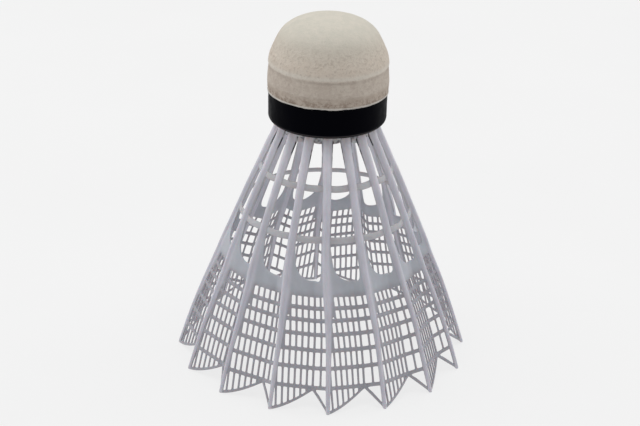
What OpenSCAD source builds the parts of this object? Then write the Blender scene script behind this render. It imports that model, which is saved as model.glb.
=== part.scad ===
// Badminton shuttlecock with a moulded skirt, standing on its sixteen feather tips with the head up.
// Millimetres. Z is the axis of the shuttlecock, and z = 0 is the plane that the tips stand on.

/* [Head] */
// Largest radius of the covered head
head_r = 13.6; // [13.2:0.1:14]
// Height of the crown above the tips
crown_z = 80.8; // [78:0.1:84]
// Height at which the head is widest
widest_z = 67.7; // [67:0.1:69]
// Height of the flat underside of the head
head_z = 57.1; // [56.5:0.1:58]
// Height of the joint between the two layers of cork
layer_z = 70.5; // [70:0.1:73]
// Height of the cut edge of the cover, which meets the tape band
cover_z = 63.9; // [62:0.1:66]
// Thickness of the cover
cover_t = 0.5; // [0.3:0.05:0.8]
// Thickness of the tape band
tape_t = 0.25; // [0.1:0.05:0.4]
// Radius of the round lower edge of the head
edge_r = 1.1; // [0.8:0.1:2]

/* [Socket] */
// Radius of the socket in the cork that takes the plug of the skirt
socket_r = 9; // [8.6:0.1:9.2]
// Depth of the socket
socket_depth = 7.6; // [5:0.1:10]
// Glue film between the plug and the socket
glue_gap = 0.1; // [0.05:0.05:0.2]
// Wall of the plug
plug_wall = 1; // [0.8:0.1:1.5]

/* [Skirt] */
// Radius of the circle that the feather tips stand on
tip_r = 33.5; // [32.5:0.1:34]
// Distance of the stem centres from the axis where the stems bend
bend_r = 23.15; // [22.4:0.05:23.4]
// Height of the bend, which is also the top of the solid web
bend_z = 27.7; // [27:0.1:28.5]
// Distance of the stem centres from the axis at the collar
neck_r = 11.25; // [10.4:0.05:11.4]
// Height of the lower face of the collar
collar_z = 55.2; // [55:0.1:56]
// How far the folds lie inside the stems at the tips
fold_depth = 2.75; // [2:0.05:3.2]
// Share of the way from one stem to the next at which the skirt folds
fold_share = 0.72; // [0.68:0.01:0.76]
// Height of the notch between two tips
notch_z = 3.9; // [3.4:0.1:4.2]

/* [Stems] */
// Radius of a stem at its tip
stem_tip_r = 0.4; // [0.35:0.05:0.45]
// Radius of a stem at the bend
stem_bend_r = 0.65; // [0.6:0.05:0.7]
// Radius of a stem at the collar
stem_neck_r = 0.9; // [0.8:0.05:0.95]

/* [Lattice] */
// Thickness of the skirt's web and bars
web_t = 0.4; // [0.35:0.05:0.6]
// Height of the solid web under the bend
web_h = 3.5; // [2.5:0.1:3.7]
// Height of the row of windows next to the solid web
first_row = 2.2; // [2.1:0.05:2.3]
// How much taller each row is than the one above it
row_growth = 1.135; // [1.12:0.001:1.14]
// Height of each ring bar between two rows
ring_h = 0.85; // [0.6:0.05:0.9]
// How far a ring bar drops for each millimetre from the stem to the fold on the wide side
ring_sag = 0.125; // [0.08:0.005:0.14]
// Width of each upright rib
rib_w = 0.48; // [0.35:0.01:0.5]
// Distance from one rib to the next
rib_pitch = 1.35; // [1.3:0.01:1.5]
// Width of the rim along the scalloped lower edge
rim_w = 0.65; // [0.5:0.05:0.8]

/* [Bars] */
// Height of the upper bar that ties the stems
upper_bar_z = 46; // [44:0.1:48]
// Height of the lower bar that ties the stems
lower_bar_z = 35.7; // [35:0.1:37]
// Height of each bar
bar_h = 1.4; // [1:0.1:1.6]

/* [Hidden] */
$fn = 64;

// Feathers
feather_count = 16;
pitch = 360 / feather_count;
fold_turn = fold_share * pitch;
rows = 6;
columns = 7;
arc_steps = 8;
leaf_steps = 8;
overlap = 0.15;
least_window = 0.3;

// Flange that widens each stem: its least width, its growth down the solid web, and its width at the collar
flange_tip = 0.5;
flange_growth = 2.2;
flange_waist = 1.0;
flange_neck = 1.35;
// The curve of the opening above the solid web on each side of a stem, and of the scalloped edge
leaf_power = 2.3;
narrow_leaf_power = 5;
scallop_power = 1.6;
// Open triangle beside each tip: its corner at the stem, and how far it reaches towards the fold
slot_foot_z = 1.4;
slot_reach = 0.78;
rim_rise = rim_w * 1.15;

// Cork
cork_r = head_r - cover_t;
crown_steps = 14;
crown_round = 2.75;
crown_flat = 2.42;

web_foot_z = bend_z - web_h;
apex_z = tip_r * bend_z / (tip_r - bend_r);
apex = [0, 0, apex_z];
stem_foot = [tip_r, 0, 0];
stem_bend = [bend_r, 0, bend_z];
stem_top = [neck_r, 0, collar_z];
fold_foot = [(tip_r - fold_depth) * cos(fold_turn), (tip_r - fold_depth) * sin(fold_turn), 0];
back_foot = [
    (tip_r - fold_depth) * cos(fold_turn - pitch),
    (tip_r - fold_depth) * sin(fold_turn - pitch),
    0,
];
wide_w = norm(fold_foot - stem_foot);
narrow_w = norm(back_foot - stem_foot);
narrow_sag = ring_sag * wide_w / narrow_w;
leaf_foot_z = bend_z - ring_sag * wide_w * (1 - bend_z / apex_z);
skin = "#c6bcae";
cork = "#b98f5c";
tape = "#08080d";
nylon = "#b9bac2";

// ---------- small helpers ----------

function unit(v) = v / norm(v);
function between(a, b, share) = a + (b - a) * share;
function around(r, turn, z) = [r * cos(turn), r * sin(turn), z];

// Height of ring bar number i, counted down from the solid web
function ring_z(i) = web_foot_z - first_row * (pow(row_growth, i) - 1) / (row_growth - 1);

// Where the point `top` lies in the plane that module sheet() draws on
function in_sheet(from, to, top) =
    let (across = unit(to - from), slope = top - from, x = slope * across)
    [x, norm(slope - x * across)];

// Lays its flat children on the plane through three points, x from `from` to `to` and y up to `top`
module sheet(from, to, top) {
    across = unit(to - from);
    slope = top - from;
    up = unit(slope - (slope * across) * across);
    out = cross(across, up);
    multmatrix([
        [across.x, up.x, out.x, from.x],
        [across.y, up.y, out.y, from.y],
        [across.z, up.z, out.z, from.z],
        [0, 0, 0, 1],
    ])
    translate([0, 0, -web_t / 2])
    linear_extrude(web_t)
    children();
}

// ---------- head ----------

// Outline of the crown from its widest height (turn 0) to its top (turn 90), `inset` inside the cover
function crown_point(turn, inset) = [
    (head_r - inset) * pow(cos(turn), 2 / crown_round),
    widest_z + (crown_z - widest_z - inset) * pow(sin(turn), 2 / crown_flat),
];
function crown_arc(from, to, inset) =
    [for (i = [0 : crown_steps]) crown_point(between(from, to, i / crown_steps), inset)];
layer_turn = asin(pow((layer_z - widest_z) / (crown_z - widest_z - cover_t), crown_flat / 2));

// Round lower edge of the head, drawn `extra` outside the cork
function edge_arc(extra) = [
    for (turn = [-80 : 20 : 0])
    [cork_r - edge_r + (edge_r + extra) * cos(turn), head_z + edge_r + (edge_r + extra) * sin(turn)],
];

module cork_dome() {
    color(cork)
    rotate_extrude()
    polygon(concat([[0, layer_z]], crown_arc(layer_turn, 90, cover_t)));
}

module cork_base() {
    color(cork)
    difference() {
        rotate_extrude()
        polygon(concat(
            [[0, head_z], [cork_r - edge_r, head_z]],
            edge_arc(0),
            crown_arc(0, layer_turn, cover_t),
            [[0, layer_z]]
        ));
        translate([0, 0, head_z - 1])
        cylinder(h = socket_depth + 1, r = socket_r);
    }
}

module head_cover() {
    inner = crown_arc(0, 90, cover_t);
    color(skin)
    rotate_extrude()
    polygon(concat(
        [[cork_r, cover_z], [head_r, cover_z]],
        crown_arc(0, 90, 0),
        [for (i = [crown_steps : -1 : 0]) inner[i]]
    ));
}

module tape_band() {
    inner = edge_arc(0);
    color(tape)
    rotate_extrude()
    polygon(concat(
        edge_arc(tape_t),
        [[cork_r + tape_t, cover_z], [cork_r, cover_z]],
        [for (i = [len(inner) - 1 : -1 : 0]) inner[i]]
    ));
}

// ---------- skirt ----------

// Ring that the stems run into, with the closed plug that sits in the socket of the cork
module skirt_collar() {
    plug_r = socket_r - glue_gap;
    plug_top = head_z + socket_depth - glue_gap;
    collar_slope = (bend_r - neck_r) / (collar_z - bend_z);
    collar_r = neck_r + stem_neck_r;
    color(nylon)
    rotate_extrude()
    polygon([
        [neck_r - stem_neck_r, collar_z],
        [collar_r, collar_z],
        [collar_r - collar_slope * (head_z - collar_z), head_z],
        [plug_r, head_z],
        [plug_r, plug_top],
        [0, plug_top],
        [0, plug_top - plug_wall],
        [plug_r - plug_wall, plug_top - plug_wall],
        [plug_r - plug_wall, head_z],
    ]);
}

// Half width of the stem with its flange, below the bend
function stem_edge(z) = flange_tip + flange_growth * pow(max(z, 0) / bend_z, 3);

// Point `d` to the side of the stem at height z, in the plane of a lower panel
function low_point(tilt, d, z) = [tilt.x * z / apex_z + d, tilt.y * z / apex_z];

// Distance from the stem, on a ring line that starts at height z, of a place `near_fold` from the fold
function ring_reach(foot_w, sag, near_fold, z) =
    (foot_w * (1 - z / apex_z) - near_fold) / (1 - foot_w * sag / apex_z);

// Point `d` to the side of the stem on a ring line that starts at height z and drops by `sag`
function ring_point(tilt, sag, d, z) = low_point(tilt, d, z - sag * d);

// Window between two distances from the fold, from ring line z0 up to z1 and clear of the stem
module window(tilt, foot_w, sag, near_fold, far_fold, z0, z1, clear0, clear1) {
    right0 = ring_reach(foot_w, sag, near_fold, z0);
    right1 = ring_reach(foot_w, sag, near_fold, z1);
    left0 = max(ring_reach(foot_w, sag, far_fold, z0), clear0);
    left1 = min(max(ring_reach(foot_w, sag, far_fold, z1), clear1), right1 - 0.05);
    if (right0 - left0 > least_window && z1 - z0 > least_window)
        polygon([
            ring_point(tilt, sag, left0, z0),
            ring_point(tilt, sag, right0, z0),
            ring_point(tilt, sag, right1, z1),
            ring_point(tilt, sag, left1, z1),
        ]);
}

// Lower end of the opening beside a stem: turn 0 at the lower bar, 90 at the fold
function leaf_point(fold_w, power, turn) = [
    fold_w - (fold_w - flange_waist) * pow(cos(turn), 2 / power),
    lower_bar_z - (lower_bar_z - leaf_foot_z) * pow(sin(turn), 2 / power),
];
function leaf_turn(power, z) = asin(pow((lower_bar_z - z) / (lower_bar_z - leaf_foot_z), power / 2));
function leaf_arc(fold_w, power, from, to) =
    [for (i = [0 : leaf_steps]) leaf_point(fold_w, power, between(from, to, i / leaf_steps))];

// Corner of a lower panel that the opening above it takes away, next to the fold
module leaf_corner(foot_w, power, tilt) {
    fold_w = foot_w * (1 - leaf_foot_z / apex_z) + overlap;
    top_z = bend_z + 2 * overlap;
    polygon(concat(
        [for (p = leaf_arc(fold_w, power, 90, leaf_turn(power, top_z))) low_point(tilt, p.x, p.y)],
        [low_point(tilt, fold_w + overlap, top_z), low_point(tilt, fold_w + overlap, leaf_foot_z)]
    ));
}

// Wide panel from a stem out to the fold: ribs run beside the fold, and the edge is scalloped
module wide_panel(foot_w, tilt) {
    function scallop_z(share) = notch_z * pow(share, scallop_power);
    function panel_w(z) = foot_w * (1 - z / apex_z);
    notch_w = panel_w(notch_z);
    row_top = ring_z(rows) - ring_h / 2;
    edge = [
        for (i = [0 : arc_steps])
        let (share = i / arc_steps)
        low_point(tilt, share * (notch_w + overlap), scallop_z(share)),
    ];
    difference() {
        polygon(concat(edge, [
            low_point(tilt, panel_w(bend_z) + overlap, bend_z + overlap),
            low_point(tilt, 0, bend_z + overlap),
        ]));
        for (row = [1 : rows], column = [0 : columns - 1]) {
            z0 = ring_z(row) + ring_h / 2;
            z1 = ring_z(row - 1) - (row == 1 ? 0 : ring_h / 2);
            window(
                tilt, foot_w, ring_sag,
                column * rib_pitch + rib_w / 2, (column + 1) * rib_pitch - rib_w / 2,
                z0, z1, stem_edge(z0), stem_edge(z1)
            );
        }
        leaf_corner(foot_w, leaf_power, tilt);
        for (column = [1 : columns - 1]) {
            near_fold = column * rib_pitch + rib_w / 2;
            far_fold = (column + 1) * rib_pitch - rib_w / 2;
            z0 = scallop_z(max(notch_w - near_fold, 0) / notch_w) + rim_rise;
            z_left = scallop_z(max(notch_w - far_fold, flange_tip) / notch_w) + rim_rise;
            right_w = panel_w(z0) - near_fold;
            left_w = max(panel_w(z_left) - far_fold, flange_tip);
            top_right = ring_reach(foot_w, ring_sag, near_fold, row_top);
            top_left = max(ring_reach(foot_w, ring_sag, far_fold, row_top), flange_tip);
            if (row_top - ring_sag * top_right - z0 > least_window)
                polygon([
                    low_point(tilt, left_w, z_left),
                    low_point(tilt, right_w, z0),
                    ring_point(tilt, ring_sag, top_right, row_top),
                    ring_point(tilt, ring_sag, top_left, row_top),
                ]);
        }
    }
}

// Narrow panel from a stem back to the fold on its other side: two windows a row and an open triangle
module narrow_panel(foot_w, tilt) {
    function panel_w(z) = foot_w * (1 - z / apex_z);
    slot_top_z = ring_z(rows) - ring_h / 2;
    difference() {
        polygon([
            low_point(tilt, 0, 0),
            low_point(tilt, panel_w(notch_z) + overlap, notch_z + overlap),
            low_point(tilt, panel_w(bend_z) + overlap, bend_z + overlap),
            low_point(tilt, 0, bend_z + overlap),
        ]);
        for (row = [1 : rows]) {
            z0 = ring_z(row) + ring_h / 2;
            z1 = ring_z(row - 1) - (row == 1 ? 0 : ring_h / 2);
            middle = panel_w(z0) / 2;
            window(tilt, foot_w, narrow_sag, rib_w / 2, middle - rib_w / 2, z0, z1, 0, 0);
            window(
                tilt, foot_w, narrow_sag, middle + rib_w / 2, panel_w(z0), z0, z1,
                stem_bend_r, stem_bend_r
            );
        }
        leaf_corner(foot_w, narrow_leaf_power, tilt);
        polygon([
            low_point(tilt, flange_tip, slot_foot_z),
            ring_point(tilt, narrow_sag, slot_reach * panel_w(notch_z), slot_top_z),
            ring_point(tilt, narrow_sag, flange_tip, slot_top_z),
        ]);
    }
}

// Flange beside a stem above the bend, with the leaf-shaped end of the opening
module flange(foot_w, power, tilt) {
    function high_point(d, z) =
        let (rise = (z - bend_z) / (collar_z - bend_z))
        [tilt.x * rise + d, tilt.y * rise];
    fold_w = foot_w * (1 - leaf_foot_z / apex_z) + overlap;
    polygon(concat(
        [high_point(0, bend_z - overlap)],
        [for (p = leaf_arc(fold_w, power, leaf_turn(power, bend_z - overlap), 0)) high_point(p.x, p.y)],
        [
            high_point(flange_waist, upper_bar_z),
            high_point(flange_neck, collar_z),
            high_point(0, collar_z),
        ]
    ));
}

// Round stem in two straight lengths, with a knuckle at the bend
module stem() {
    low_turn = atan2(tip_r - bend_r, bend_z);
    high_turn = atan2(bend_r - neck_r, collar_z - bend_z);
    knuckle_r = stem_bend_r + 0.08;
    gap = knuckle_r / 2;
    foot_over = 1;
    low_len = norm(stem_bend - stem_foot);
    high_len = norm(stem_top - stem_bend);
    translate(stem_foot)
    rotate([0, -low_turn, 0])
    translate([0, 0, -foot_over])
    cylinder(h = low_len + foot_over - gap, r1 = stem_tip_r, r2 = stem_bend_r);
    translate(stem_bend)
    sphere(r = knuckle_r);
    translate(stem_bend)
    rotate([0, -high_turn, 0])
    translate([0, 0, gap])
    cylinder(h = high_len, r1 = stem_bend_r, r2 = stem_neck_r);
}

// Bar that ties the stems, over one pitch
module bar(z) {
    bar_r = between(bend_r, neck_r, (z - bend_z) / (collar_z - bend_z));
    rotate([0, 0, fold_turn - pitch - 1])
    rotate_extrude(angle = pitch + 2)
    translate([bar_r - web_t / 2, z - bar_h / 2])
    square([web_t, bar_h]);
}

// Space that belongs to one feather: between the two folds beside it, from the tips to the collar
module feather_space() {
    reach = 2 * tip_r;
    linear_extrude(collar_z)
    polygon([
        [0, 0],
        [reach * cos(fold_turn - pitch), reach * sin(fold_turn - pitch)],
        [reach * cos(fold_turn), reach * sin(fold_turn)],
    ]);
}

// One feather of the skirt, drawn with its stem on the X axis and then turned to its place
module feather(number) {
    fold_bend = between(fold_foot, apex, bend_z / apex_z);
    back_bend = between(back_foot, apex, bend_z / apex_z);
    color(nylon)
    rotate([0, 0, (number - 1) * pitch - 90])
    intersection() {
        union() {
            stem();
            sheet(stem_foot, fold_foot, apex)
            wide_panel(wide_w, in_sheet(stem_foot, fold_foot, apex));
            sheet(stem_foot, back_foot, apex)
            narrow_panel(narrow_w, in_sheet(stem_foot, back_foot, apex));
            sheet(stem_bend, fold_bend, stem_top)
            flange(wide_w, leaf_power, in_sheet(stem_bend, fold_bend, stem_top));
            sheet(stem_bend, back_bend, stem_top)
            flange(narrow_w, narrow_leaf_power, in_sheet(stem_bend, back_bend, stem_top));
            bar(upper_bar_z);
            bar(lower_bar_z);
        }
        feather_space();
    }
}

cork_dome();
cork_base();
head_cover();
tape_band();
skirt_collar();
feather(1);  // feather_01
feather(2);  // feather_02
feather(3);  // feather_03
feather(4);  // feather_04
feather(5);  // feather_05
feather(6);  // feather_06
feather(7);  // feather_07
feather(8);  // feather_08
feather(9);  // feather_09
feather(10);  // feather_10
feather(11);  // feather_11
feather(12);  // feather_12
feather(13);  // feather_13
feather(14);  // feather_14
feather(15);  // feather_15
feather(16);  // feather_16
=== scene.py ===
import math

import bpy
from mathutils import Matrix, Vector, noise


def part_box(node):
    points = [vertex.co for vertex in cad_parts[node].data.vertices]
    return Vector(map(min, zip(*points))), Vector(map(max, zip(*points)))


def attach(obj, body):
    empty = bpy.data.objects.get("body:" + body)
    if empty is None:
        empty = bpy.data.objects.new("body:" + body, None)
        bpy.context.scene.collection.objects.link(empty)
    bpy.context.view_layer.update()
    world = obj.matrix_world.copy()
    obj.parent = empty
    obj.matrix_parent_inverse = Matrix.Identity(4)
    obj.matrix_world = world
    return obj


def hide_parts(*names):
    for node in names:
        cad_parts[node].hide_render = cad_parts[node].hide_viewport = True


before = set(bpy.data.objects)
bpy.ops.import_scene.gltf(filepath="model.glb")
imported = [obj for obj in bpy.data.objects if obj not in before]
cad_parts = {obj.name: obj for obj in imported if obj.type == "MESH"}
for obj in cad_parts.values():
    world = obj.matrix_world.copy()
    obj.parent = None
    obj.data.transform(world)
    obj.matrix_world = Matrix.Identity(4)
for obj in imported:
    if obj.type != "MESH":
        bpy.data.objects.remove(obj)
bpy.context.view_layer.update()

MM = 0.001


# ---------------------------------------------------------------- sizes, in millimetres

def mm_box(node):
    """Lowest and highest corner of a CAD node, in millimetres."""
    low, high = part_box(node)
    return Vector(low) / MM, Vector(high) / MM


cover_low, cover_high = mm_box("head_cover")
base_low = mm_box("cork_base")[0]
dome_low = mm_box("cork_dome")[0]
tape_low, tape_high = mm_box("tape_band")
collar_low, collar_high = mm_box("skirt_collar")

FEATHERS = 16
PITCH = math.tau / FEATHERS
FOLD_TURN = 0.72 * PITCH
TIP_R = 33.5
BEND_R = 23.15
BEND_Z = 27.7
COLLAR_Z = collar_low.z
FOLD_DEPTH = 2.75
NOTCH_Z = 3.9
SCALLOP_POWER = 1.6
APEX_Z = TIP_R * BEND_Z / (TIP_R - BEND_R)

STEM_TIP_R = 0.4
STEM_BEND_R = 0.65
STEM_NECK_R = 0.9
NECK_R = collar_high.x - STEM_NECK_R
NARROW_MARGIN = 0.1

WEB_T = 0.42
WEB_FOOT_Z = BEND_Z - 3.5
FIRST_ROW = 2.2
ROW_GROWTH = 1.135
ROWS = 6
RING_H = 0.92
RIB_W = 0.52
RING_SAG = 0.125
RIB_PITCH = 1.35
WINDOWS = 7
CORNER = 0.28
LEAST_WINDOW = 0.4
RIM_RISE = 0.75
RIM_KNUCKLE = 0.15
LEAST_SLOT = 0.3
SLOT_FOOT_Z = 1.4
SLOT_REACH = 0.78
FLANGE_TIP = 0.5
FLANGE_GROWTH = 2.2
FLANGE_WAIST = 1.1
FLANGE_NECK = 1.5
LEAF_POWER = {1: 2.3, -1: 5.0}
LEAF_SPREAD = 0.75
UPPER_BAR_Z = 46.0
LOWER_BAR_Z = 35.7
BAR_H = 1.5
BAR_CROWN = 0.3


def ring_z(i):
    """Height of ring bar number i, counted down from the solid web."""
    return WEB_FOOT_Z - FIRST_ROW * (ROW_GROWTH**i - 1) / (ROW_GROWTH - 1)


def mix(a, b, share):
    return a + (b - a) * share


def smooth(low, high, value):
    share = min(max((value - low) / (high - low), 0.0), 1.0)
    return share * share * (3 - 2 * share)


def around(r, turn, z):
    return Vector((r * math.cos(turn), r * math.sin(turn), z))


# ---------------------------------------------------------------- mesh helpers

def new_piece(name, verts, faces, material, levels=0):
    """A smooth-shaded mesh object from points in millimetres."""
    mesh = bpy.data.meshes.new(name)
    mesh.from_pydata([Vector(v) * MM for v in verts], [], faces)
    mesh.validate()
    mesh.update()
    mesh.polygons.foreach_set("use_smooth", [True] * len(mesh.polygons))
    mesh.materials.append(material)
    piece = bpy.data.objects.new(name, mesh)
    bpy.context.scene.collection.objects.link(piece)
    if levels:
        rounding = piece.modifiers.new("rounding", "SUBSURF")
        rounding.levels = levels
        rounding.render_levels = levels
    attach(piece, "root")
    return piece


def lathe(profile, turns, shift=None, closed=False):
    """Points and faces of a profile of (r, z) turned round Z; shift(r, z, turn, i) moves a point."""
    verts, faces, rings = [], [], []
    for i, (r, z) in enumerate(profile):
        if r < 1e-6:
            rings.append([len(verts)] * turns)
            verts.append(around(0, 0, z))
            continue
        ring = []
        for k in range(turns):
            turn = math.tau * k / turns
            point_r, point_z = shift(r, z, turn, i) if shift else (r, z)
            ring.append(len(verts))
            verts.append(around(point_r, turn, point_z))
        rings.append(ring)
    pairs = list(zip(rings, rings[1:]))
    if closed:
        pairs.append((rings[-1], rings[0]))
    for low, high in pairs:
        for k in range(turns):
            n = (k + 1) % turns
            face = [low[k], low[n], high[n], high[k]]
            face = [v for j, v in enumerate(face) if v != face[j - 1]]
            if len(face) > 2:
                faces.append(face)
    return verts, faces


# ---------------------------------------------------------------- skirt

def stem_r(z):
    """Distance of a stem's centre from the axis."""
    if z <= BEND_Z:
        return mix(TIP_R, BEND_R, z / BEND_Z)
    return mix(BEND_R, NECK_R, (z - BEND_Z) / (COLLAR_Z - BEND_Z))


def stem_half(z):
    """Radius of a stem."""
    if z <= BEND_Z:
        return mix(STEM_TIP_R, STEM_BEND_R, z / BEND_Z)
    return mix(STEM_BEND_R, STEM_NECK_R, (z - BEND_Z) / (COLLAR_Z - BEND_Z))


STEM_FOOT = around(TIP_R, 0, 0)
FOLD_FOOT = {
    1: around(TIP_R - FOLD_DEPTH, FOLD_TURN, 0),
    -1: around(TIP_R - FOLD_DEPTH, FOLD_TURN - PITCH, 0),
}
ACROSS = {side: (FOLD_FOOT[side] - STEM_FOOT).normalized() for side in (1, -1)}
FOOT_W = {side: (FOLD_FOOT[side] - STEM_FOOT).length for side in (1, -1)}
# How far a ring bar drops for each millimetre from the stem: square to the stem, and equal at the fold
SAG = {1: RING_SAG, 0: 0, -1: RING_SAG * FOOT_W[1] / FOOT_W[-1]}
STEM_STEPS = 3


def panel_w(side, z):
    """Width of a panel, from the stem to the fold."""
    return FOOT_W[side] * (1 - z / APEX_Z)


def stem_point(z):
    return around(stem_r(z), 0, z)


def flange_edge(z):
    """Where the flange on the wide side of a stem ends, below the bend."""
    return FLANGE_TIP + FLANGE_GROWTH * (max(z, 0) / BEND_Z) ** 3


def narrow_edge(z):
    """Where the stem ends on its narrow side, below the bend."""
    return stem_half(z) + NARROW_MARGIN


def high_edge(z):
    """Where both flanges end, above the bend."""
    if z <= UPPER_BAR_Z:
        return FLANGE_WAIST
    return mix(FLANGE_WAIST, FLANGE_NECK, (z - UPPER_BAR_Z) / (COLLAR_Z - UPPER_BAR_Z))


def sheet_normal(side, z):
    """Outward normal of the panel or flange on one side of a stem."""
    slope = (stem_point(z + 0.5) - stem_point(z - 0.5)).normalized()
    normal = ACROSS[side].cross(slope).normalized()
    return normal if normal.x > 0 else -normal


def turned(vector, turn):
    return Matrix.Rotation(turn, 3, "Z") @ vector


def opening(a, b):
    """Four column places for one window: its two sides and a line close to each, for round corners."""
    step = min(CORNER, abs(b - a) * 0.3) * (1 if b > a else -1)
    return [a, a + step, b - step, b]


def columns(z):
    """Side and place of every column of one feather below the bend; side 0 is the stem, and the first
    column is the fold.
    """
    narrow, wide = panel_w(-1, z), panel_w(1, z)
    half = RIB_W / 2
    left_edge, right_edge = narrow_edge(z), flange_edge(z)
    places = [(-1, narrow)]
    places += [(-1, d) for d in opening(narrow - half, narrow / 2 + half)]
    places += [(-1, d) for d in opening(narrow / 2 - half, left_edge)]
    places += [(0, c) for c in range(-STEM_STEPS, STEM_STEPS + 1)]
    for window in reversed(range(WINDOWS)):
        left = max(wide - (window + 1) * RIB_PITCH + half, right_edge)
        right = max(wide - window * RIB_PITCH - half, right_edge)
        places += [(1, d) for d in opening(left, right)]
    return places


COLUMN_COUNT = len(columns(0))
WINDOW_COLUMNS = 4
FIRST_STEM = 1 + 2 * WINDOW_COLUMNS
FIRST_WIDE = FIRST_STEM + 2 * STEM_STEPS + 1
STEM_COLUMNS = range(FIRST_STEM, FIRST_WIDE)
# First column of every window in the rows of the lattice
NARROW_WINDOWS = [1, 1 + WINDOW_COLUMNS]
WIDE_WINDOWS = [FIRST_WIDE + WINDOW_COLUMNS * i for i in range(WINDOWS)]


def spread():
    """How far each column stands at the bend from its flange's edge to the fold, from 0 to 1."""
    shares = []
    for side, d in columns(BEND_Z):
        edge = narrow_edge(BEND_Z) if side < 0 else flange_edge(BEND_Z)
        shares.append(0 if side == 0 else (d - edge) / (panel_w(side, BEND_Z) - edge))
    return shares


SPREAD = spread()


def level(z):
    """Row along a ring bar below the bend, which stands at height z beside the stem."""
    return [settled(column, lambda side, d: z - SAG[side] * d, z) for column in range(COLUMN_COUNT)]


def settled(column, height, z=0.0):
    """Place of a column on a line whose height depends on the distance from the stem."""
    for _ in range(4):
        side, d = columns(z)[column]
        z = height(side, d)
    return side, d, z


def rim_outer(side, d):
    if side == 0:
        return 0.0
    share = min(d / panel_w(side, NOTCH_Z), 1.0)
    return NOTCH_Z * (share**SCALLOP_POWER if side > 0 else share)


ROW_TOP = ring_z(ROWS) - RING_H / 2


def rim_inner(side, d):
    if side == 0:
        return RIM_RISE + RIM_KNUCKLE
    top = ROW_TOP - SAG[side] * d
    if side > 0:
        z = rim_outer(side, d) + RIM_RISE
    else:
        reach = SLOT_REACH * panel_w(-1, NOTCH_Z)
        z = mix(SLOT_FOOT_Z, ROW_TOP - SAG[-1] * reach, (d - FLANGE_TIP) / (reach - FLANGE_TIP))
    return z if z < top - LEAST_SLOT else top


def leaf_row():
    """Top of the solid web: a leaf-shaped curve up the wide side, and a squarer one up the narrow side."""
    top_z = LOWER_BAR_Z - BAR_H / 2
    foot_z = BEND_Z - RING_SAG * panel_w(1, BEND_Z)
    places = []
    for (side, d), share in zip(columns(BEND_Z), SPREAD):
        if side == 0:
            places.append((side, d, top_z))
            continue
        fold_w = panel_w(side, foot_z)
        power = 2 / LEAF_POWER[side]
        turn = math.pi / 2 * share**LEAF_SPREAD
        d = fold_w - (fold_w - FLANGE_WAIST) * max(math.cos(turn), 0) ** power
        z = top_z - (top_z - foot_z) * math.sin(turn) ** power
        places.append((side, d, z))
    return places


def high_row(z):
    """Row above the lower bar: flanges as below, and everything between them on the bar's arc."""
    places = []
    for column, ((side, d), share) in enumerate(zip(columns(BEND_Z), SPREAD)):
        if side == 0:
            places.append((0, d, z))
        elif share <= 0:
            places.append((side, high_edge(z), z))
        else:
            places.append((2 * side, share, z))
    return places


def between_rows(low, high, share):
    return [(b[0], mix(a[1], b[1], share), mix(a[2], b[2], share)) for a, b in zip(low, high)]


def sheet_pair(side, d, z):
    """Outer and inner point on a panel or flange."""
    middle = stem_point(z) + ACROSS[side] * d
    normal = sheet_normal(side, z)
    return middle + normal * WEB_T / 2, middle - normal * WEB_T / 2


def fold_pair(z):
    """Outer and inner point on the fold at the far side of the wide panel."""
    middle = stem_point(z) + ACROSS[1] * panel_w(1, z)
    own = sheet_normal(1, z)
    other = turned(sheet_normal(-1, z), PITCH)
    normal = (own + other).normalized()
    reach = WEB_T / 2 / normal.dot(own)
    return middle + normal * reach, middle - normal * reach


def stem_pair(c, z):
    """Outer and inner point round a stem; the panels leave it between the two."""
    r = stem_half(z)
    share = (c + STEM_STEPS) / (2 * STEM_STEPS)
    wide = math.atan2(ACROSS[1].y, ACROSS[1].x)
    narrow = math.atan2(ACROSS[-1].y, ACROSS[-1].x)
    gap = math.asin(WEB_T / 2 / r)
    outer = mix(narrow + gap, wide - gap, share)
    inner = mix(narrow + math.tau - gap, wide + gap, share)
    centre = stem_point(z)
    return [centre + around(r, turn, 0) for turn in (outer, inner)]


def arc_pair(share, z):
    """Outer and inner point between two stems; share runs from this stem's flange to the next one's."""
    ends = [sheet_pair(1, high_edge(z), z), sheet_pair(-1, high_edge(z), z)]
    ends[1] = [turned(p, PITCH) for p in ends[1]]
    pair = []
    for near, far in zip(*ends):
        turns = [math.atan2(p.y, p.x) for p in (near, far)]
        reaches = [math.hypot(p.x, p.y) for p in (near, far)]
        heights = [near.z, far.z]
        crown = BAR_CROWN * math.sin(math.pi * share) ** 0.5
        pair.append(around(mix(*reaches, share) + crown, mix(*turns, share), mix(*heights, share)))
    return pair


FOLD_SHARE_HIGH = 0.7


def pair_at(side, place, z):
    """Outer and inner point for one grid place, with its feather's stem on the X axis."""
    if side == 0:
        return stem_pair(place, z)
    if side == 2:
        return arc_pair(place * FOLD_SHARE_HIGH, z)
    if side == -2:
        return [turned(p, -PITCH) for p in arc_pair(1 - place * (1 - FOLD_SHARE_HIGH), z)]
    if side == -1 and place > panel_w(-1, z) - 0.01:
        return [turned(p, -PITCH) for p in fold_pair(z)]
    return sheet_pair(side, place, z)


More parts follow.
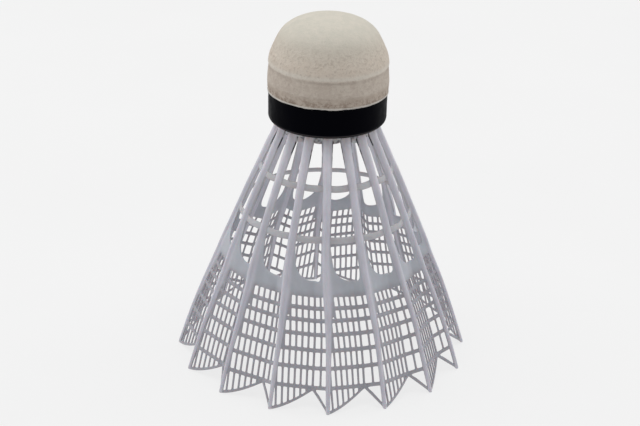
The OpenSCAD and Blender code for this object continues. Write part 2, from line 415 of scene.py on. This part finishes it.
def skirt_rows():
    """Rows of one feather from the tips up: (row, which cells open in the space above it)."""
    rows = [([settled(c, rim_outer) for c in range(COLUMN_COUNT)], "solid")]
    inner = [settled(c, rim_inner) for c in range(COLUMN_COUNT)]
    bottom = level(ROW_TOP)
    rows += [(between_rows(inner, bottom, share), "tips") for share in (0, 0.1, 0.9)]
    for i in range(ROWS, 0, -1):
        low, high = ring_z(i) + RING_H / 2, ring_z(i - 1) - (RING_H / 2 if i > 1 else 0)
        rows.append((level(ring_z(i) - RING_H / 2), "solid"))
        rows += [(level(mix(low, high, share)), "lattice") for share in (0, 0.13, 0.87)]
    foot, leaf = level(WEB_FOOT_Z), leaf_row()
    rows += [(between_rows(foot, leaf, share), "solid") for share in (0, 0.12, 0.3, 0.55, 0.8)]
    rows.append((leaf, "open"))
    bars = [LOWER_BAR_Z, UPPER_BAR_Z]
    for bar, top in zip(bars, [UPPER_BAR_Z - BAR_H / 2, COLLAR_Z]):
        rows.append((high_row(bar - BAR_H / 2), "solid"))
        low = bar + BAR_H / 2
        rows += [(high_row(mix(low, top, share)), "open") for share in (0, 0.05, 0.3, 0.6, 0.94)]
    rows.append((high_row(COLLAR_Z), "solid"))
    rows.append((high_row(base_low.z), "end"))
    return rows


def is_open(kind, column, low, high):
    """Whether the cell between two rows, right of a column, is part of an opening."""
    if kind == "open":
        return not FIRST_STEM - 1 <= column < FIRST_WIDE
    if kind in ("solid", "end"):
        return False
    if kind == "tips" and 1 <= column < FIRST_STEM - 1:
        return True
    for first in NARROW_WINDOWS + WIDE_WINDOWS:
        last = first + WINDOW_COLUMNS - 1
        if first <= column < last:
            widths = [abs(row[last][1] - row[first][1]) for row in (low, high)]
            return max(widths) > LEAST_WINDOW
    return False


def skirt_mesh():
    """The whole skirt as one closed skin: rows of points round sixteen feathers, with openings. The marks
    say which points lie on a stem, and which on the edge of its flange.
    """
    rows = skirt_rows()
    verts, marks, numbers = [], {"stem": [], "edge": []}, {}

    def number(outer, inner, on_stem, on_edge):
        key = tuple(round(c, 3) for c in (*outer, *inner))
        if key not in numbers:
            numbers[key] = len(verts)
            verts.extend([outer, inner])
            marks["stem"].extend([float(on_stem)] * 2)
            marks["edge"].extend([float(on_edge)] * 2)
        return numbers[key]

    grid = []
    for row, _ in rows:
        local = [pair_at(*place) for place in row]
        line = []
        for k in range(FEATHERS):
            turn = k * PITCH - math.pi / 2
            for column, pair in enumerate(local):
                on_edge = column in (STEM_COLUMNS[0] - 1, FIRST_WIDE)
                line.append(number(*(turned(p, turn) for p in pair), column in STEM_COLUMNS, on_edge))
        grid.append(line)
    skins = []
    total = len(grid[0])
    for i in range(len(rows) - 1):
        kind = rows[i][1]
        for j in range(total):
            if is_open(kind, j % COLUMN_COUNT, rows[i][0], rows[i + 1][0]):
                continue
            n = (j + 1) % total
            face = [grid[i][j], grid[i][n], grid[i + 1][n], grid[i + 1][j]]
            face = [v for m, v in enumerate(face) if v != face[m - 1]]
            if len(set(face)) > 2:
                skins.append(face)
    edges = {(face[m - 1], face[m]) for face in skins for m in range(len(face))}
    walls = [(b, a, a + 1, b + 1) for a, b in edges if (b, a) not in edges]
    faces = skins + [[v + 1 for v in reversed(face)] for face in skins] + walls
    return verts, marks, faces


# ---------------------------------------------------------------- materials

def new_material(name, roughness, **fixed):
    """A Principled material; fixed gives further socket values by name, with _ for a space."""
    mat = bpy.data.materials.new(name)
    mat.use_nodes = True
    skin = mat.node_tree.nodes["Principled BSDF"]
    skin.inputs["Roughness"].default_value = roughness
    for key, value in fixed.items():
        skin.inputs[key.replace("_", " ")].default_value = value
    return mat


def add(mat, kind, **settings):
    node = mat.node_tree.nodes.new(kind)
    for key, value in settings.items():
        setattr(node, key, value)
    return node


def join(mat, source, target):
    mat.node_tree.links.new(source, target)


def place(mat, stretch=(1, 1, 1)):
    """Position on the object in millimetres, stretched along each axis."""
    coords = add(mat, "ShaderNodeTexCoord")
    mapping = add(mat, "ShaderNodeMapping")
    mapping.inputs["Scale"].default_value = [s / MM for s in stretch]
    join(mat, coords.outputs["Object"], mapping.inputs["Vector"])
    return mapping.outputs["Vector"]


def grain(mat, size, detail=3.0, rough=0.55, stretch=(1, 1, 1)):
    """Noise whose blotches are about `size` millimetres across."""
    texture = add(mat, "ShaderNodeTexNoise")
    texture.inputs["Scale"].default_value = 1 / size
    texture.inputs["Detail"].default_value = detail
    texture.inputs["Roughness"].default_value = rough
    join(mat, place(mat, stretch), texture.inputs["Vector"])
    return texture.outputs["Fac"]


def cells(mat, size, feature="F1"):
    """Distance pattern of granules about `size` millimetres across."""
    texture = add(mat, "ShaderNodeTexVoronoi", feature=feature)
    texture.inputs["Scale"].default_value = 1 / size
    join(mat, place(mat), texture.inputs["Vector"])
    return texture


def span(mat, value, low, high, to_low=0.0, to_high=1.0):
    """Value carried from one range to another, without going past its ends."""
    node = add(mat, "ShaderNodeMapRange", interpolation_type="SMOOTHSTEP")
    join(mat, value, node.inputs["Value"])
    for name, number in zip(("From Min", "From Max", "To Min", "To Max"), (low, high, to_low, to_high)):
        node.inputs[name].default_value = number
    return node.outputs["Result"]


def height(mat):
    """Height on the object, in millimetres."""
    node = add(mat, "ShaderNodeSeparateXYZ")
    join(mat, place(mat), node.inputs["Vector"])
    return node.outputs["Z"]


def times(mat, a, b):
    node = add(mat, "ShaderNodeMath", operation="MULTIPLY")
    for socket, value in zip(node.inputs, (a, b)):
        if isinstance(value, (int, float)):
            socket.default_value = value
        else:
            join(mat, value, socket)
    return node.outputs["Value"]


def tint(mat, share, a, b):
    """Mixes two colours, each a colour or a socket."""
    node = add(mat, "ShaderNodeMix", data_type="RGBA")
    if isinstance(share, float):
        node.inputs["Factor"].default_value = share
    else:
        join(mat, share, node.inputs["Factor"])
    for socket, value in zip((node.inputs[6], node.inputs[7]), (a, b)):
        if isinstance(value, tuple):
            socket.default_value = (*value, 1)
        else:
            join(mat, value, socket)
    return node.outputs[2]


def relief(mat, value, depth, below=None):
    """Bump from a value, `depth` millimetres high, laid over the bump `below`."""
    node = add(mat, "ShaderNodeBump")
    node.inputs["Strength"].default_value = 1.0
    node.inputs["Distance"].default_value = depth * MM
    join(mat, value, node.inputs["Height"])
    if below:
        join(mat, below, node.inputs["Normal"])
    return node.outputs["Normal"]


def finish_material(mat, colour, normal, roughness=None):
    skin = mat.node_tree.nodes["Principled BSDF"]
    join(mat, colour, skin.inputs["Base Color"])
    join(mat, normal, skin.inputs["Normal"])
    if roughness:
        join(mat, roughness, skin.inputs["Roughness"])


def cover_material():
    """Cream leather-like sheet: finely pitted and mottled, with painted shade on the side below its ledge, a
    painted highlight along the ledge's upper edge and a patchy band of painted shade under it, and browner
    and creased at its glued lower margin.
    """
    mat = new_material("cover", 0.8, Specular_IOR_Level=0.25)
    z = height(mat)
    ledge_z = dome_low.z
    colour = tint(mat, span(mat, z, 72.0, 79.5), (0.635, 0.555, 0.473), (0.575, 0.55, 0.478))
    # Painted shade: the side below the ledge is coloured darker, standing in for the shade where the surface
    # turns from the dome to straight down.
    colour = tint(mat, span(mat, z, ledge_z - 0.7, ledge_z + 0.2), (0.505, 0.435, 0.375), colour)
    blotch = span(mat, grain(mat, 1.7, 4.0, 0.7), 0.36, 0.66)
    colour = tint(mat, times(mat, blotch, 0.45), colour, (0.68, 0.625, 0.545))
    below_crown = span(mat, z, 78.5, 74.0)
    speck = times(mat, span(mat, grain(mat, 0.6, 4.0, 0.75), 0.48, 0.64), below_crown)
    colour = tint(mat, times(mat, speck, 0.5), colour, (0.40, 0.335, 0.28))
    # Painted highlight: a pale band just over the ledge, where the ledge's edge catches the light.
    ledge_highlight = times(mat, span(mat, z, ledge_z - 0.35, ledge_z), span(mat, z, ledge_z + 1.1, ledge_z + 0.3))
    colour = tint(mat, times(mat, ledge_highlight, 0.45), colour, (0.70, 0.665, 0.60))
    # Painted shade: a patchy dark band just under the ledge's overhang.
    ledge_shade_low = span(mat, z, ledge_z - 1.3, ledge_z - 0.75)
    dark_band = times(mat, ledge_shade_low, span(mat, z, ledge_z - 0.2, ledge_z - 0.6))
    patchy = span(mat, grain(mat, 4.0, 2.0), 0.35, 0.65, 0.08, 0.4)
    colour = tint(mat, times(mat, dark_band, patchy), colour, (0.33, 0.275, 0.235))
    margin = span(mat, z, cover_low.z + 2.9, cover_low.z + 2.1)
    colour = tint(mat, times(mat, margin, 0.3), colour, (0.37, 0.29, 0.23))
    stain = span(mat, grain(mat, 1.1, 4.0, 0.75), 0.42, 0.6)
    worn = span(mat, z, cover_low.z + 2.6, cover_low.z + 0.7)
    colour = tint(mat, times(mat, times(mat, worn, stain), 0.8), colour, (0.24, 0.18, 0.14))
    edge = span(mat, z, cover_low.z + 0.45, cover_low.z + 0.25)
    colour = tint(mat, edge, colour, (0.60, 0.565, 0.52))
    dents = grain(mat, 0.6, 4.0, 0.65)
    fewer_on_crown = span(mat, z, 79.0, 74.0, 0.35, 1.0)
    pits = relief(mat, times(mat, dents, fewer_on_crown), 0.26)
    folds = relief(mat, times(mat, margin, grain(mat, 1.0, 3.0, 0.6)), 0.35, pits)
    finish_material(mat, colour, folds)
    return mat


def tape_material():
    """Black tape, smooth, with shallow wrinkles, a little dust and a faint painted highlight along its lower
    bend.
    """
    mat = new_material("tape", 0.42, Specular_IOR_Level=0.015)
    dust = span(mat, grain(mat, 0.35, 3.0, 0.7), 0.6, 0.78)
    colour = tint(mat, times(mat, dust, 0.25), (0.0008, 0.0008, 0.0022), (0.006, 0.006, 0.009))
    z = height(mat)
    # Painted highlight: a faint pale line along the tape's lower bend, where it catches the light.
    highlight_low = span(mat, z, tape_low.z + 0.4, tape_low.z + 0.6)
    line = times(mat, highlight_low, span(mat, z, tape_low.z + 0.9, tape_low.z + 0.7))
    colour = tint(mat, times(mat, line, 0.8), colour, (0.055, 0.05, 0.052))
    wrinkle = relief(mat, grain(mat, 2.2, 2.0, 0.5, (1, 1, 0.5)), 0.05)
    rough = span(mat, grain(mat, 1.4, 3.0), 0.3, 0.7, 0.36, 0.5)
    finish_material(mat, colour, wrinkle, rough)
    return mat


def nylon_material():
    """Grey-white moulded nylon, satin and slightly translucent: paler where the stems are thick, a little
    bluish over the solid web, with flow marks, scuffs, patchy dark marks just under the tape away from the
    stems, and near-black streaks along the flange edges from about 50 mm up.
    """
    mat = new_material("nylon", 0.45, Subsurface_Weight=0.12, Subsurface_Scale=0.001)
    z = height(mat)
    stem = add(mat, "ShaderNodeAttribute", attribute_name="stem").outputs["Fac"]
    edge = add(mat, "ShaderNodeAttribute", attribute_name="edge").outputs["Fac"]
    sheet = tint(mat, span(mat, z, 23.5, 25.5), (0.38, 0.38, 0.42), (0.47, 0.495, 0.545))
    sheet = tint(mat, span(mat, z, 31.0, 38.0), sheet, (0.50, 0.505, 0.525))
    stalk = tint(mat, span(mat, z, 40.0, 52.0), (0.61, 0.605, 0.675), (0.70, 0.69, 0.76))
    colour = tint(mat, stem, sheet, stalk)
    flow = span(mat, grain(mat, 2.6, 4.0, 0.6, (1, 1, 0.35)), 0.32, 0.68)
    colour = tint(mat, flow, tint(mat, 0.12, colour, (0.1, 0.1, 0.11)), colour)
    scuff = span(mat, grain(mat, 0.6, 3.0, 0.7), 0.58, 0.75)
    colour = tint(mat, times(mat, scuff, 0.22), colour, (0.5, 0.5, 0.53))
    # Darker, patchy marks in a band just under the tape, away from the stems.
    under_tape_zone = times(mat, span(mat, z, 53.6, 55.6), span(mat, stem, 0.9, 0.2))
    under_tape_zone = times(mat, under_tape_zone, span(mat, z, 57.6, 57.0))
    under_tape_patches = times(mat, under_tape_zone, span(mat, grain(mat, 1.5, 2.0), 0.48, 0.58))
    colour = tint(mat, times(mat, under_tape_patches, 0.75), colour, (0.10, 0.10, 0.12))
    # Near-black streaks along the flange edges, from about 50 mm up.
    dark_band = times(mat, span(mat, z, 49.5, 52.5), span(mat, edge, 0.35, 0.75))
    edge_streaks = times(mat, dark_band, span(mat, grain(mat, 3.0, 2.0), 0.42, 0.52))
    colour = tint(mat, edge_streaks, colour, (0.03, 0.03, 0.045))
    uneven = relief(mat, grain(mat, 1.3, 3.0, 0.55), 0.07)
    fine = relief(mat, grain(mat, 0.22, 2.0), 0.015, uneven)
    rough = span(mat, grain(mat, 1.8, 3.0), 0.3, 0.7, 0.38, 0.56)
    finish_material(mat, colour, fine, rough)
    return mat


def cork_material():
    """Pressed cork: brown granules with darker seams."""
    mat = new_material("cork", 0.85, Specular_IOR_Level=0.2)
    granules = cells(mat, 1.1)
    seams = cells(mat, 1.1, "DISTANCE_TO_EDGE")
    shade = add(mat, "ShaderNodeSeparateColor")
    join(mat, granules.outputs["Color"], shade.inputs["Color"])
    colour = tint(mat, shade.outputs["Red"], (0.36, 0.20, 0.10), (0.58, 0.37, 0.20))
    crack = span(mat, seams.outputs["Distance"], 0.1, 0.01)
    colour = tint(mat, times(mat, crack, 0.8), colour, (0.12, 0.06, 0.03))
    bumps = relief(mat, seams.outputs["Distance"], 0.12)
    fine = relief(mat, grain(mat, 0.3, 4.0, 0.7), 0.05, bumps)
    finish_material(mat, colour, fine)
    return mat


def floor_material():
    """Plain pale light table: most of its brightness comes through it, so shadows stay faint."""
    mat = new_material("floor", 0.9, Specular_IOR_Level=0.0, Emission_Strength=0.74)
    mat.node_tree.nodes["Principled BSDF"].inputs["Emission Color"].default_value = (1, 1, 1, 1)
    cloud = grain(mat, 60, 3.0)
    colour = tint(mat, cloud, (0.14, 0.14, 0.14), (0.16, 0.16, 0.16))
    finish_material(mat, colour, relief(mat, grain(mat, 2.0, 3.0), 0.01))
    return mat


cover_look = cover_material()
tape_look = tape_material()
nylon_look = nylon_material()
cork_look = cork_material()


# ---------------------------------------------------------------- skirt piece

SKIRT_TWIST = math.radians(-2.6)
SKIRT_LEAN = 0.15
SKIRT_BULGE = 0.42
BACK_LIFT = 0.6
UNEVEN = 0.12
UNEVEN_SCALE = 0.09
# Heights between which each of them grows or fades, and how far back the lift takes to grow
TWIST_RISE = (14.0, 34.0)
LEAN_FADE = (44.0, COLLAR_Z)
LIFT_RISE = (8.0, 22.0)
LIFT_FADE = (43.0, 52.0)
LIFT_REACH = (0.0, 18.0)
UNEVEN_RISE = (0.0, 6.0)
UNEVEN_FADE = (50.0, COLLAR_Z)
# The collar's ragged lower edge: its mean drop, how much that varies, and how finely
RAG_DROP = 0.35
RAG_CHANGE = 0.7
RAG_SCALE = 2.3
RAG_RISE = (52.5, COLLAR_Z)
RAG_FADE = (COLLAR_Z + 0.1, base_low.z - 0.2)
# Blender seeds noise_vector from the clock, so it is given a fixed seed
UNEVEN_SEED = 1
noise.seed_set(UNEVEN_SEED)


def settle(point):
    """The slight twist, lean, bulge and unevenness of a real moulding, whose tips stay true and whose back
    sits a little higher, and the ragged lower edge of its collar.
    """
    z = point.z
    turn = math.atan2(point.y, point.x)
    hold = smooth(*UNEVEN_RISE, z) * (1 - smooth(*UNEVEN_FADE, z))
    moved = point + noise.noise_vector(point * UNEVEN_SCALE) * UNEVEN * hold
    bulge = SKIRT_BULGE * math.sin(math.pi * min(max(z / WEB_FOOT_Z, 0.0), 1.0))
    moved += around(bulge, turn, 0)
    moved.x += SKIRT_LEAN * smooth(*TWIST_RISE, z) * (1 - smooth(*LEAN_FADE, z))
    raised = smooth(*LIFT_RISE, z) * (1 - smooth(*LIFT_FADE, z))
    moved.z += BACK_LIFT * raised * smooth(*LIFT_REACH, point.y)
    ragged = smooth(*RAG_RISE, z) * (1 - smooth(*RAG_FADE, z))
    moved.z -= ragged * (RAG_DROP + RAG_CHANGE * noise.noise(around(RAG_SCALE, turn, 4.0)))
    moved.z = max(moved.z, 0.0)
    return turned(moved, SKIRT_TWIST * smooth(*TWIST_RISE, z))


skirt_verts, skirt_marks, skirt_faces = skirt_mesh()
skirt = new_piece("skirt", [settle(v) for v in skirt_verts], skirt_faces, nylon_look, 1)
for mark, values in skirt_marks.items():
    skirt.data.attributes.new(mark, "FLOAT", "POINT").data.foreach_set("value", values)
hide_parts(*[f"feather_{i:02d}" for i in range(1, FEATHERS + 1)])


# ---------------------------------------------------------------- plug inside the head

PLUG_R = 8.9
PLUG_BORE_R = 7.9
PLUG_TOP_T = 1
PLUG_CHAMFER = 0.4
GATE_R = 1.0
GATE_DEPTH = 0.3
FLANGE_R = 10.6
FLANGE_BORE_R = 9.35
PLUG_TURNS = 96


def plug_profile():
    """Half section of the plug: up the inside, across the closed end with the mark of the moulding gate, and
    down the outside to the flange that the stems run into.
    """
    top = collar_high.z
    ceiling = top - PLUG_TOP_T
    floor_z = COLLAR_Z + 0.25
    bore = [
        (FLANGE_BORE_R + 0.15, floor_z),
        (FLANGE_BORE_R, floor_z + 0.2),
        (PLUG_BORE_R + 0.2, base_low.z - 0.25),
        (PLUG_BORE_R, base_low.z),
    ]
    end = [
        (PLUG_BORE_R, ceiling - 0.5),
        (PLUG_BORE_R - 0.2, ceiling - 0.1),
        (PLUG_BORE_R - 0.6, ceiling),
        (GATE_R + 0.2, ceiling),
        (GATE_R, ceiling - GATE_DEPTH + 0.05),
        (0, ceiling - GATE_DEPTH),
        (0, top),
    ]
    outside = [
        (PLUG_R - PLUG_CHAMFER, top),
        (PLUG_R, top - PLUG_CHAMFER),
        (PLUG_R, base_low.z),
        (FLANGE_R - 0.2, base_low.z),
        (FLANGE_R, COLLAR_Z + 0.5),
        (FLANGE_R - 0.2, floor_z),
    ]
    return bore + end + outside


plug_verts, plug_faces = lathe(plug_profile()[::-1], PLUG_TURNS, closed=True)
plug = new_piece("skirt_plug", plug_verts, plug_faces, nylon_look)
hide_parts("skirt_collar")


# ---------------------------------------------------------------- cover of the head

COVER_T = 0.5
HEAD_R = cover_high.x
CROWN_Z = cover_high.z
EDGE_Z = cover_low.z
WIDEST_Z = 67.7
LAYER_Z = dome_low.z
CROWN_ROUND = 2.75
CROWN_FLAT = 2.42
SKIN_INSET = 0.06
MARGIN_TUCK = 0.12
CROWN_RINGS = 60
SIDE_RINGS = 26
INSIDE_RINGS = 16
HEAD_TURNS = 400


def crown_point(share, inset):
    """Point on the crown's curve, moved in by the inset: share 0 is the widest place and 1 is the top."""
    turn = math.pi / 2 * share
    r = (HEAD_R - inset) * max(math.cos(turn), 0) ** (2 / CROWN_ROUND)
    z = WIDEST_Z + (CROWN_Z - WIDEST_Z - inset) * math.sin(turn) ** (2 / CROWN_FLAT)
    return r, z


def cover_profile():
    """Half section of the cover: up the outside, down the inside, and across its raw edge."""
    side = [(HEAD_R - SKIN_INSET, EDGE_Z + (WIDEST_Z - EDGE_Z) * i / SIDE_RINGS) for i in range(SIDE_RINGS)]
    crown = [crown_point((i / CROWN_RINGS) ** 1.15, SKIN_INSET) for i in range(CROWN_RINGS)]
    outside = side + crown + [(0, CROWN_Z - SKIN_INSET)]
    inside = [crown_point(i / INSIDE_RINGS, COVER_T) for i in reversed(range(INSIDE_RINGS))]
    raw_edge = [(HEAD_R - COVER_T, EDGE_Z), (HEAD_R - MARGIN_TUCK, EDGE_Z - 0.02)]
    return outside + [(0, CROWN_Z - COVER_T)] + inside + raw_edge


OUTSIDE_RINGS = SIDE_RINGS + CROWN_RINGS
CREASE_TURN = math.radians(306)
NICK_TURN = math.radians(263)
NICK_DEPTH = 0.45
RIDGE_HEIGHT = 0.16
SHOULDER_INSET = 0.25
GROOVE_DEPTH = 0.2
CREASE_HEIGHT = 0.09


def cover_shift(r, z, turn, i):
    """Tucks the margin in over the band, flattens the crown's shoulder, and adds the ledge over the cork
    joint, lumps, creases, a wavy edge with one nick in it, and one slanting ridge.
    """
    low = 1 - smooth(EDGE_Z, EDGE_Z + 1.6, z)
    wavy = 0.12 * noise.noise(around(4.5, turn, 3.0)) + 0.05 * noise.noise(around(16, turn, 7.0))
    new_z = z + wavy * low
    if i >= OUTSIDE_RINGS:
        return r, new_z
    spot = around(r, turn, z)
    tuck = MARGIN_TUCK * (1 - smooth(EDGE_Z, EDGE_Z + 2.4, z))
    ledge_z = LAYER_Z + 0.25 * noise.noise(around(7, turn, 5.0))
    above = smooth(ledge_z - 0.5, ledge_z + 0.05, z)
    groove = GROOVE_DEPTH * smooth(LAYER_Z - 4.0, LAYER_Z - 0.6, z) * (1 - above)
    lumps = 0.05 * noise.noise(spot * 0.45) + 0.03 * noise.noise(spot * 1.1)
    margin = 1 - smooth(EDGE_Z + 1.1, EDGE_Z + 1.9, z + 0.3 * noise.noise(around(9, turn, 1.0)))
    crease = CREASE_HEIGHT * noise.noise(Vector((spot.x * 0.9, spot.y * 0.9, spot.z * 1.6))) * margin
    along = HEAD_R * (turn - CREASE_TURN)
    apart = abs(z - EDGE_Z - 1.1 + 0.6 * along)
    ridge = RIDGE_HEIGHT * (1 - smooth(0.1, 0.45, apart)) * (1 - smooth(1.0, 1.5, abs(along)))
    nick = NICK_DEPTH * low * (1 - smooth(0.1, 0.6, abs(HEAD_R * (turn - NICK_TURN))))
    flat = smooth(0.0, 4.0, r)
    shoulder = SHOULDER_INSET * smooth(71.7, 74.4, z) * (1 - smooth(75.2, 77.8, z))
    new_r = r - tuck - groove - shoulder - 0.01 + lumps * flat + crease + ridge
    return new_r, new_z + lumps * (1 - flat) + nick


cover_verts, cover_faces = lathe(cover_profile(), HEAD_TURNS, cover_shift, closed=True)
cover = new_piece("head_cover_skin", cover_verts, cover_faces, cover_look)
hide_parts("head_cover")


# ---------------------------------------------------------------- tape band

TAPE_R = tape_high.x
TAPE_T = 0.25
EDGE_R = 1.1
WRAP_TURN = -80
BEND_STEPS = 10
SIDE_STEPS = 14
TAPE_INSET = 0.06
LAP_TURN = math.radians(97)
LAP_HEIGHT = 0.06


def tape_profile():
    """Half section of the tape: round the head's lower edge, up the side, and back down against the cork."""
    cork_r = TAPE_R - TAPE_T
    centre_r, centre_z = cork_r - EDGE_R, base_low.z + EDGE_R

    def bend(radius):
        turns = [math.radians(mix(WRAP_TURN, 0, i / BEND_STEPS)) for i in range(BEND_STEPS + 1)]
        return [(centre_r + radius * math.cos(t), centre_z + radius * math.sin(t)) for t in turns]

    outer, inner = bend(EDGE_R + TAPE_T), bend(EDGE_R)
    foot_z, head_z = outer[-1][1], tape_high.z - 0.05
    side = [(TAPE_R, mix(foot_z, head_z, i / SIDE_STEPS)) for i in range(1, SIDE_STEPS + 1)]
    return outer + side + [(TAPE_R - TAPE_INSET, tape_high.z), (cork_r, tape_high.z)] + inner[::-1]


def tape_shift(r, z, turn, i):
    """Shallow waves, and the step where the end of the tape laps over its start at the back."""
    spot = around(r, turn, z)
    wave = 0.05 * noise.noise(spot * 0.3) - 0.03
    past = turn - LAP_TURN
    lap = LAP_HEIGHT * smooth(0.0, 0.008, past) * (1 - smooth(0.25, 0.6, past))
    on_outside = i < BEND_STEPS + 1 + SIDE_STEPS
    return (r + wave - TAPE_INSET + lap, z) if on_outside else (r, z)


tape_verts, tape_faces = lathe(tape_profile(), HEAD_TURNS, tape_shift, closed=True)
band = new_piece("tape_ring", tape_verts, tape_faces, tape_look)
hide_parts("tape_band")

for name in ("cork_dome", "cork_base"):
    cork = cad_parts[name]
    cork.data.materials.clear()
    cork.data.materials.append(cork_look)


# ---------------------------------------------------------------- floor, light and camera

FLOOR_SIZE = 6
FLOOR_Z = -0.00002
WORLD_STRENGTH = 0.32
LIGHT_AIM_Z = 0.04
# The camera: its place in millimetres, its turns in degrees, and its lens and sensor width in millimetres
CAMERA_PLACE = (-20.18, -361.50, 196.71)
CAMERA_YAW = 3.025
CAMERA_PITCH = -24.251
CAMERA_ROLL = 1.456
LENS = 97.35
SENSOR_W = 36

bpy.ops.mesh.primitive_plane_add(size=FLOOR_SIZE, location=(0, 0, FLOOR_Z))
floor = bpy.context.object
floor.name = "floor"
floor.data.materials.append(floor_material())


def soft_light(name, power, size, location):
    """A square light that points at the middle of the shuttlecock."""
    data = bpy.data.lights.new(name, "AREA")
    data.shape = "SQUARE"
    data.size = size
    data.energy = power
    lamp = bpy.data.objects.new(name, data)
    lamp.location = location
    aim = Vector((0, 0, LIGHT_AIM_Z)) - Vector(location)
    lamp.rotation_euler = aim.to_track_quat("-Z", "Y").to_euler()
    bpy.context.scene.collection.objects.link(lamp)


soft_light("overhead", 7.5, 1.2, (0, 0.1, 0.9))
soft_light("left", 3.0, 0.9, (-0.95, 0.25, 0.4))
soft_light("right", 2.2, 0.9, (0.95, 0.25, 0.4))

world = bpy.data.worlds.new("studio")
bpy.context.scene.world = world
world.use_nodes = True
world.node_tree.nodes["Background"].inputs["Color"].default_value = (1, 1, 1, 1)
world.node_tree.nodes["Background"].inputs["Strength"].default_value = WORLD_STRENGTH


def camera_matrix(position, yaw, pitch, roll):
    """Camera placed from its position in millimetres and its three turns in degrees."""
    yaw, pitch, roll = (math.radians(a) for a in (yaw, pitch, roll))
    forward = Vector((math.sin(yaw) * math.cos(pitch), math.cos(yaw) * math.cos(pitch), math.sin(pitch)))
    level_right = Vector((math.cos(yaw), -math.sin(yaw), 0))
    level_up = level_right.cross(forward)
    right = level_right * math.cos(roll) + level_up * math.sin(roll)
    up = level_up * math.cos(roll) - level_right * math.sin(roll)
    turn = Matrix((right, up, -forward)).transposed().to_4x4()
    return Matrix.Translation(Vector(position) * MM) @ turn


lens = bpy.data.cameras.new("camera")
lens.lens = LENS
lens.sensor_width = SENSOR_W
lens.clip_start = 0.01
camera = bpy.data.objects.new("camera", lens)
bpy.context.scene.collection.objects.link(camera)
camera.matrix_world = camera_matrix(CAMERA_PLACE, CAMERA_YAW, CAMERA_PITCH, CAMERA_ROLL)
bpy.context.scene.camera = camera
bpy.context.scene.view_settings.view_transform = "Standard"
